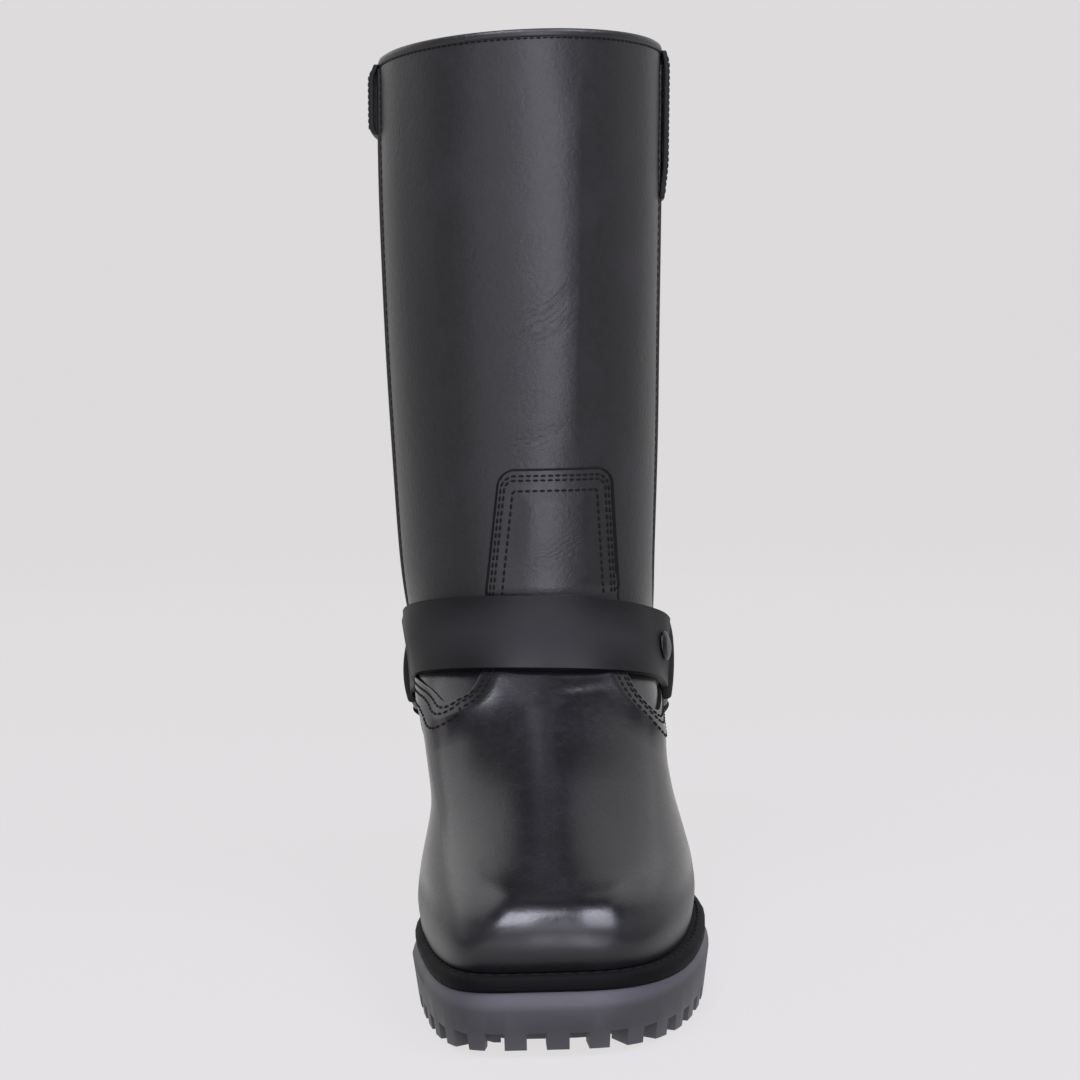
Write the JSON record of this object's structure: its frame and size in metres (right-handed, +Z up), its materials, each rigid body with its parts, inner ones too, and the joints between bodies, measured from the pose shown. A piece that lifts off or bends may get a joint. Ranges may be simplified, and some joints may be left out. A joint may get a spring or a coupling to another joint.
{
  "type": "harness boot",
  "caption": "Left harness boot: tall hollow leather upper on a welted lug sole and heel, with straps meeting in a metal ring at each ankle side.",
  "frame": {"origin": "bottom centre of the boot's box, on the floor", "axes": "+Z up the shaft, -Y towards the toe, +X towards the lateral (outer) side"},
  "size_m": [0.1258, 0.302, 0.357],
  "materials": {
    "sole_rubber": "moulded, matt black",
    "welt_leather": "edge-stained black",
    "insole_board": "dark lining leather on board",
    "upper_leather": "smooth black, semi-gloss, lightly creased",
    "strap_leather": "thick smooth black, satin",
    "nickel": "dull nickel plate",
    "black_metal": "black oxide"
  },
  "bodies": {
    "root": {"outsole": "sole_rubber", "heel": "sole_rubber", "welt": "welt_leather", "insole": "insole_board", "upper": "upper_leather", "front_strap": "strap_leather", "heel_strap": "strap_leather", "under_strap_medial": "strap_leather", "under_strap_lateral": "strap_leather", "ring_medial": "nickel", "ring_lateral": "nickel", "stud_lateral": "black_metal", "pull_loop_medial": "strap_leather", "pull_loop_lateral": "strap_leather"}
  },
  "joints": []
}
